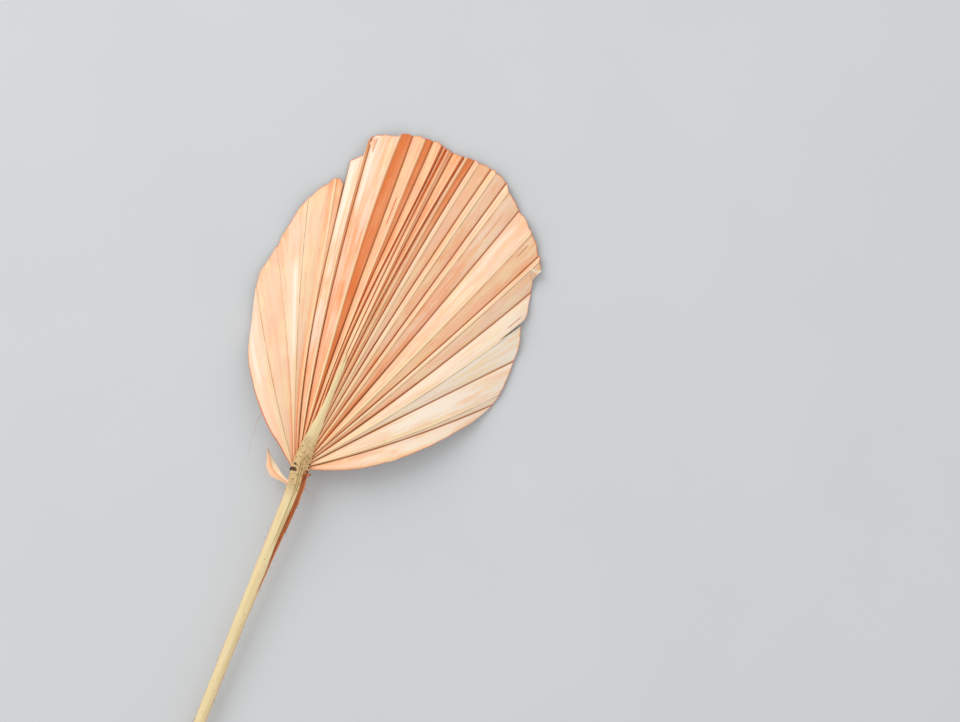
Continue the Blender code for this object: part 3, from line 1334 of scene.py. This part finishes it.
class Ground:
    """The upper surface of a finished piece, for small pieces that lie on it."""

    def __init__(self, piece: bpy.types.Object) -> None:
        """Reads the piece's mesh."""
        shape = bmesh.new()
        shape.from_mesh(piece.data)
        self.tree = BVHTree.FromBMesh(shape)
        shape.free()

    def level(self, x: float, y: float, beside: float = 0.0) -> float:
        """Height of the surface at a place.

        Args:
            x: The place, across.
            y: The place, along.
            beside: The height to give where there is no surface.

        Returns:
            The height.
        """
        found = self.tree.ray_cast(HUB_TO_ROW @ Vector((x, y, 60.0)), Vector((0, 0, -1)))[0]
        return beside if found is None else found.z / MM


@dataclass(frozen=True)
class Scrap:
    """A narrow scrap of sheet, creased along its middle.

    Attributes:
        path: Points of its middle line.
        widths: Half its width at the same points.
        crease: How far its middle stands above its sides.
        thickness: Its thickness.
        bend: How unevenly it has dried.
        columns: Faces across it.
        rows: Faces along it.
    """

    path: tuple[tuple[float, float, float], ...]
    widths: tuple[float, ...]
    crease: float = 0.8
    thickness: float = 0.4
    bend: float = 0.3
    columns: int = 12
    rows: int = 48

    def add_to(self, shape: bmesh.types.BMesh, seed: float = 0.0) -> None:
        """Adds the scrap, without its thickness.

        Args:
            shape: The mesh that it joins.
            seed: Where in the noise its unevenness is read.
        """
        last = len(self.path) - 1
        lines = [Profile(tuple(enumerate(axis)), 0.25) for axis in zip(*self.path)]
        breadth = Profile(tuple(enumerate(self.widths)), 0.12)

        def place(column: int, row: int) -> tuple[Vector, Mark]:
            """One point of the scrap."""
            step = last * row / self.rows
            middle = Vector([line.at(step) for line in lines])
            ahead = Vector([line.at(step + 0.2) - line.at(step - 0.2) for line in lines])
            aside = Vector((ahead.y, -ahead.x, 0)).normalized()
            share = 2 * column / self.columns - 1
            half = breadth.at(step) * (1 + 0.08 * waver(step * 2.5, share, seed))
            lift = self.crease * (1 - abs(share)) + self.bend * waver(step * 1.3, share * 1.2, seed + 5)
            return middle + aside * share * half + Vector((0, 0, lift)), {"side": share}

        add_grid(shape, self.columns, self.rows, place)


@dataclass(frozen=True)
class TornStrip:
    """The strip that tore off the blade's left corner and still hangs by its foot.

    Attributes:
        scrap: Its shape.
    """

    scrap: Scrap = Scrap(
        path=(
            (-2.4, -10.8, 17.5), (-8.1, -9.5, 16.3), (-13.2, -8.0, 14.6), (-17.1, -5.1, 12.9),
            (-20.2, -0.8, 11.4), (-23.8, 5.2, 10.2),
        ),
        widths=(1.2, 2.0, 3.5, 3.3, 1.6, 0.1),
        crease=1.3,
    )

    def build(self) -> bpy.types.Object:
        """Builds the strip.

        Returns:
            The piece.
        """
        shape = new_shape(("side",))
        self.scrap.add_to(shape)
        thicken(shape, self.scrap.thickness)
        # Painted highlight, in part: cream goes on the strip's upper facet, paler partly because it faces the
        # light. Peach goes on its lower facet.
        peach, cream, orange = (0.88, 0.52, 0.31), (0.90, 0.70, 0.48), (0.84, 0.34, 0.14)
        finish = ScrapFinish("torn_strip_skin", peach, cream, (260.0, 260.0, 60.0), orange)
        return finish_piece(shape, "torn_corner_strip", finish.material(), ("torn_strip",))


BARK_THICKNESS = 0.25
BARK_BEND = 0.2
BARK_COLUMNS = 6
TONGUE_THICKNESS = 0.4
TONGUE_COLUMNS = 24
TONGUE_ROWS = 12


@dataclass(frozen=True)
class HubScraps:
    """What is left at the hub: a dark scar, torn reddish bits of bark and the tongue underneath.

    Attributes:
        knobs: Place of each dark knob, across and along, then half its width and half its length.
    """

    knobs: tuple[tuple[float, float, float, float], ...] = (
        (-2.8, -0.7, 2.0, 1.3), (-4.6, -1.9, 0.7, 1.0), (-3.1, 2.5, 1.2, 0.55), (5.4, 5.2, 0.5, 0.45),
        (5.6, 3.3, 0.45, 0.4), (5.9, 0.2, 0.45, 0.8),
    )

    def build(self, stalk: Stalk, ground: Ground) -> list[bpy.types.Object]:
        """Builds the pieces.

        Args:
            stalk: The stalk that they sit on.
            ground: Its upper surface.

        Returns:
            The pieces.
        """
        return [self._scar(ground), self._bark(stalk), self._tongue(stalk)]

    def _scar(self, ground: Ground) -> bpy.types.Object:
        """Low, ragged knobs of dark tissue: where a shoot broke off, and smaller ones about it.

        Args:
            ground: The stalk's upper surface.

        Returns:
            The piece.
        """
        shape = new_shape()
        for x, y, across, along in self.knobs:
            self._add_knob(shape, ground, Vector((x, y)), Vector((across, along)))
        finish = ScrapFinish(
            "scar_tissue", (0.035, 0.018, 0.014), (0.16, 0.075, 0.035), (1300.0, 1300.0, 1300.0)
        )
        return finish_piece(shape, "shoot_scar", finish.material())

    @staticmethod
    def _add_knob(shape: bmesh.types.BMesh, ground: Ground, middle: Vector, radii: Vector) -> None:
        """Adds one knob, sunk a little into the stalk and hollow at its top.

        Args:
            shape: The mesh that it joins.
            ground: The surface that it sits on.
            middle: Its place.
            radii: Half its width and half its length.
        """
        rings = ((1.15, -0.9), (1.0, 0.1), (0.8, 0.4), (0.55, 0.35), (0.3, 0.2), (0.0, 0.15))
        sides = 24
        rest = ground.level(middle.x, middle.y, 18.0)

        def place(column: int, row: int) -> tuple[Vector, Mark]:
            """One point of the knob."""
            angle = 2 * math.pi * (column % sides) / sides
            reach, rise = rings[row]
            ragged = 1 + 0.35 * waver(math.cos(angle) * 1.6 + middle.x, math.sin(angle) * 1.6, reach)
            x = middle.x + radii.x * reach * ragged * math.cos(angle)
            y = middle.y + radii.y * reach * ragged * math.sin(angle)
            return Vector((x, y, ground.level(x, y, rest) + rise * (0.9 + 0.4 * waver(x, y)))), {}

        points = add_grid(shape, sides, len(rings) - 1, place)
        bmesh.ops.remove_doubles(shape, verts=points, dist=1e-3)
        bmesh.ops.holes_fill(shape, edges=[edge for edge in shape.edges if edge.is_boundary])

    @staticmethod
    def _bark(stalk: Stalk) -> bpy.types.Object:
        """Short curls of torn bark on the hub's right side.

        Args:
            stalk: The stalk.

        Returns:
            The piece.
        """
        side = stalk.right.at(0)
        level = stalk.height.at(0) + 0.6
        tatters = (
            (((-1.6, -9, 0.6), (-0.9, -4, 1.4), (0.6, -0.6, 2.0), (2.2, -0.9, 1.4)),
             (0.5, 0.9, 0.8, 0.2), 0.3, 18),
            (((-2.4, -2.2, 1.4), (-1.9, 1.0, 1.9), (-0.9, 4.4, 1.6)), (0.5, 0.55, 0.15), 0.25, 14),
            (((-2.0, 3.0, 1.2), (-1.4, 5.4, 1.9), (-1.8, 7.6, 1.5)), (0.3, 0.4, 0.1), 0.2, 12),
        )
        shape = new_shape(("side",))
        for number, (offsets, widths, crease, rows) in enumerate(tatters):
            path = tuple((side + across, along, level + up) for across, along, up in offsets)
            scrap = Scrap(path, widths, crease, BARK_THICKNESS, BARK_BEND, BARK_COLUMNS, rows)
            scrap.add_to(shape, seed=number * 3.1)
        thicken(shape, BARK_THICKNESS)
        finish = ScrapFinish("torn_bark", (0.17, 0.035, 0.02), (0.50, 0.16, 0.07))
        return finish_piece(shape, "torn_bark", finish.material())

    @staticmethod
    def _tongue(stalk: Stalk) -> bpy.types.Object:
        """The short papery tongue on the hub's other side, where the stalk meets the blade.

        Args:
            stalk: The stalk.

        Returns:
            The piece.
        """
        under = stalk.height.at(0) - 0.42 * stalk.thickness.at(0)
        shape = new_shape()

        def place(column: int, row: int) -> tuple[Vector, Mark]:
            """One point of the tongue."""
            share = 2 * column / TONGUE_COLUMNS - 1
            out = row / TONGUE_ROWS
            tip = 9.0 * (1 - abs(share) ** 1.6) * out
            ragged = 0.5 * waver(share * 5, out, 6.0) * out
            droop = 1.9 * out * (1 - 0.5 * abs(share))
            return Vector((0.6 + 5.6 * share, -2.5 + tip + ragged, under - droop)), {}

        add_grid(shape, TONGUE_COLUMNS, TONGUE_ROWS, place)
        bmesh.ops.remove_doubles(shape, verts=shape.verts, dist=1e-3)
        thicken(shape, TONGUE_THICKNESS)
        finish = ScrapFinish("papery_tongue", (0.42, 0.24, 0.12), (0.72, 0.50, 0.28))
        return finish_piece(shape, "hub_tongue", finish.material())


@dataclass(frozen=True)
class CornerFlap:
    """A three-cornered bit of the margin that has folded back over the blade.

    Attributes:
        name: The piece's name.
        inner: Its corner on the blade.
        tip: Its outermost corner, where its fold ends.
        free: Its free corner.
        finish: Its finish.
        thickness: Its thickness.
        columns: Faces across it.
    """

    name: str
    inner: tuple[float, float]
    tip: tuple[float, float]
    free: tuple[float, float]
    finish: ScrapFinish
    thickness: float = 0.3
    columns: int = 16

    def build(self, ground: Ground) -> bpy.types.Object:
        """Lays the flap on the blade.

        Args:
            ground: The blade's upper surface.

        Returns:
            The piece.
        """
        shape = new_shape(("side",))
        inner, tip, free = Vector(self.inner), Vector(self.tip), Vector(self.free)
        beside = ground.level(*inner.lerp(tip, 0.4), 4.0)

        def place(column: int, row: int) -> tuple[Vector, Mark]:
            """One point of the flap."""
            across, out = column / self.columns, row / self.columns
            flat = inner.lerp(tip.lerp(free, across), out)
            curl = 0.5 * across * out + 0.3 + 0.12 * waver(flat.x * 0.7, flat.y * 0.7)
            return Vector((*flat, ground.level(*flat, beside) + curl)), {"side": 0.9 - 1.5 * across}

        add_grid(shape, self.columns, self.columns, place)
        bmesh.ops.remove_doubles(shape, verts=shape.verts, dist=1e-3)
        thicken(shape, self.thickness)
        return finish_piece(shape, self.name, self.finish.material())


PALE_FOLD = ScrapFinish(
    "pale_fold", (0.74, 0.53, 0.36), (0.90, 0.76, 0.58), (300.0, 300.0, 300.0), (0.80, 0.46, 0.30)
)
PINK_FOLD = ScrapFinish(
    "pink_fold", (0.84, 0.44, 0.26), (0.92, 0.62, 0.42), (300.0, 300.0, 300.0), (0.86, 0.40, 0.22)
)
FLAPS = (
    CornerFlap("folded_margin_corner", (88.7, 171.3), (97.0, 173.2), (93.4, 165.6), PALE_FOLD),
    CornerFlap("folded_lobe_corner", (-30.6, 203.3), (-35.0, 208.8), (-31.4, 213.6), PINK_FOLD),
)


@dataclass(frozen=True)
class LooseHairs:
    """Fine fibres that have come away from the margin and from the stalk's edges.

    Attributes:
        stalk: The stalk that some of them leave.
        long: Points of the long ones.
        count: How many short ones there are.
        radius: Half a fibre's thickness at its root.
    """

    stalk: Stalk
    long: tuple[tuple[tuple[float, float, float], ...], ...] = (
        ((-34.5, 25.0, 13.5), (-36.2, 19, 12.0), (-35.2, 11, 9.5), (-35.4, 3, 7.5), (-33.0, -5, 5.0)),
        ((6.2, -9.0, 17.0), (10, -11.5, 14.5), (15, -13.4, 11.5), (20, -16.5, 9.0)),
        ((-3.2, -44, 14.8), (-4.8, -42.5, 15.2), (-5.5, -40.2, 14.6)),
    )
    count: int = 26
    radius: float = 0.13

    def build(self) -> bpy.types.Object:
        """Builds all the fibres as one piece.

        Returns:
            The piece.
        """
        shape = new_shape()
        for points in self.long:
            self._add(shape, [Vector(point) for point in points])
        for number in range(self.count):
            self._add(shape, self._short(number))
        finish = ScrapFinish("dry_fibre", (0.20, 0.10, 0.06), (0.62, 0.30, 0.18), (160.0, 160.0, 160.0))
        return finish_piece(shape, "loose_fibres", finish.material())

    def _add(self, shape: bmesh.types.BMesh, points: Sequence[Vector]) -> None:
        """Adds a tapering fibre on a smooth line through its points."""
        lines = [Profile(tuple(enumerate(axis)), 0.5) for axis in zip(*points)]
        steps = 8 * (len(points) - 1)
        path = [Vector([line.at((len(points) - 1) * i / steps) for line in lines]) for i in range(steps + 1)]
        add_tube(shape, path, lambda share: self.radius * (1.15 - share), 5)

    def _short(self, number: int) -> list[Vector]:
        """A short curled fibre on one of the stalk's side edges.

        Args:
            number: Which one it is. Its place and curl follow from it.

        Returns:
            Its points.
        """
        rightwards = number % 3 != 0
        along = -14 - 280 * ((number * 0.618) % 1.0)
        side = 1 if rightwards else -1
        edge = self.stalk.right.at(along) if rightwards else self.stalk.left.at(along)
        level = self.stalk.height.at(along) + 0.2
        reach = 0.9 + 1.9 * ((number * 0.377) % 1.0) ** 2
        curl = 2.0 * waver(number * 1.7, 2.3)
        return [
            Vector((edge - side * 0.5, along, level)),
            Vector((edge + side * 0.45 * reach, along - 0.8 + 1.5 * curl, level + 0.5)),
            Vector((edge + side * reach * (0.8 + 0.3 * curl), along - 1.6 + 2.6 * curl, level + 0.1)),
        ]


# ---------------------------------------------------------------------------------------------
# Studio


@dataclass(frozen=True)
class Studio:
    """The pale surface, the soft lights and the camera that looks straight down.

    Attributes:
        aim: The point below the camera, in millimetres from the hub.
        roll: How far the leaf leans clockwise in the view, in degrees.
        view_width: Width of the view at the leaf, in millimetres.
        lens: Focal length.
        sensor: Width of the sensor.
        level: Height of the point that the camera aims at, in millimetres.
        key_bearing: Where the key light stands, in degrees anticlockwise from the view's right.
        key_height: Its elevation, in degrees.
        key_distance: How far away it stands, in metres.
        key_size: Its width, in metres.
        key_power: Its power, in watts.
        sky: Colour of the light from all around.
        floor_size: Width of the pale surface, in metres.
    """

    aim: tuple[float, float] = (81.4, 105.2)
    roll: float = 21.5
    view_width: float = 607.5
    lens: float = 85.0
    sensor: float = 36.0
    level: float = 12.0
    key_bearing: float = 132.0
    key_height: float = 40.0
    key_distance: float = 2.8
    key_size: float = 2.4
    key_power: float = 34.0
    sky: Colour = (0.81, 0.812, 0.815)
    floor_size: float = 8.0

    def build(self) -> None:
        """Builds the studio."""
        self._floor()
        self._sky()
        self._key()
        self._camera()
        bpy.context.scene.view_settings.view_transform = "Standard"

    def _floor(self) -> None:
        """Lays the surface just under the leaf."""
        shape = bmesh.new()
        bmesh.ops.create_grid(shape, x_segments=8, y_segments=8, size=self.floor_size / 2)
        mesh = bpy.data.meshes.new("table_surface")
        shape.to_mesh(mesh)
        shape.free()
        mesh.materials.append(PaperFinish().material())
        floor = bpy.data.objects.new("table_surface", mesh)
        bpy.context.scene.collection.objects.link(floor)

    def _sky(self) -> None:
        """Fills the room with even, pale light."""
        world = bpy.data.worlds.new("soft_room")
        world.use_nodes = True
        background = world.node_tree.nodes["Background"]
        background.inputs["Color"].default_value = (*self.sky, 1.0)
        background.inputs["Strength"].default_value = 1.0
        bpy.context.scene.world = world

    def _aim_point(self) -> Vector:
        """The point below the camera, in the frame."""
        return HUB_TO_ROW @ Vector((*self.aim, self.level))

    def _key(self) -> None:
        """Hangs one broad soft light over the leaf's left side."""
        light = bpy.data.lights.new("key_light", "AREA")
        light.shape = "DISK"
        light.size = self.key_size
        light.energy = self.key_power
        light.color = (1.0, 0.985, 0.965)
        lamp = bpy.data.objects.new("key_light", light)
        bearing = math.radians(self.key_bearing + self.roll)
        height = math.radians(self.key_height)
        level = math.cos(height)
        towards = Vector((math.cos(bearing) * level, math.sin(bearing) * level, math.sin(height)))
        lamp.location = self._aim_point() + towards * self.key_distance
        lamp.rotation_euler = towards.to_track_quat("Z", "Y").to_euler()
        bpy.context.scene.collection.objects.link(lamp)

    def _camera(self) -> None:
        """Sets the camera straight above its aim."""
        data = bpy.data.cameras.new("camera")
        data.lens = self.lens
        data.sensor_width = self.sensor
        data.clip_end = 20.0
        camera = bpy.data.objects.new("camera", data)
        distance = self.view_width * MM * self.lens / self.sensor
        camera.location = self._aim_point() + Vector((0, 0, distance))
        camera.rotation_euler = (0.0, 0.0, math.radians(self.roll))
        bpy.context.scene.collection.objects.link(camera)
        bpy.context.scene.camera = camera


# ---------------------------------------------------------------------------------------------


def main() -> None:
    """Builds the leaf piece by piece, then the studio around it."""
    logging.basicConfig(level=logging.INFO, format="%(name)s: %(message)s")
    stalk = Stalk()
    stalk_surface = Ground(stalk.build())
    blade_surface = Ground(Blade(stalk).build())
    TornStrip().build()
    HubScraps().build(stalk, stalk_surface)
    for flap in FLAPS:
        flap.build(blade_surface)
    LooseHairs(stalk).build()
    Studio().build()


if __name__ == "__main__":
    main()
